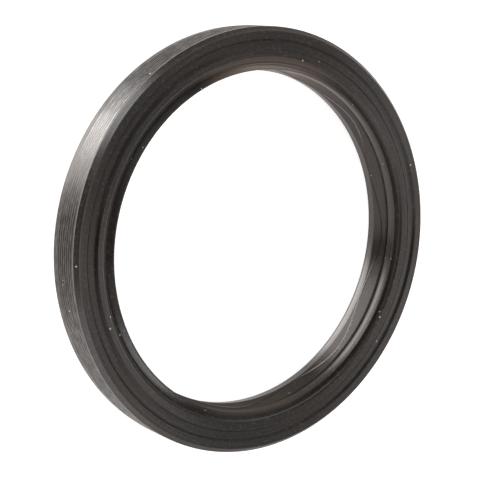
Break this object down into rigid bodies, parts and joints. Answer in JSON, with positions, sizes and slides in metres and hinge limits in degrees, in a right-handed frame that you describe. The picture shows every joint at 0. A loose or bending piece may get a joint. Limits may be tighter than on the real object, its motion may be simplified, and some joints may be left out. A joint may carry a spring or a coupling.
{
  "type": "radial shaft seal",
  "caption": "Rotary shaft seal ring for an 80 mm shaft: ribbed rubber outside, dust lip, spring-loaded sealing lip with a wave rib, and a steel case inside the rubber.",
  "frame": {"origin": "centre of the oil-side rim, on the seal's axis, at the level the seal lies on", "axes": "+Z along the seal's axis, from the oil side to the air side; +X points along a radius, 2.2 degrees before a crest of the wave rib"},
  "size_m": [0.1, 0.1, 0.01],
  "materials": {
    "rubber": "dark brownish black nitrile rubber, satin, with fine moulding lines, dust and small scuffs",
    "case_steel": "grey phosphated deep-drawn steel, dull",
    "spring_steel": "drawn spring steel wire, lightly oiled, semi-bright"
  },
  "bodies": {
    "root": {"rubber_body": "rubber", "steel_case": "case_steel", "garter_spring": "spring_steel"}
  },
  "joints": []
}
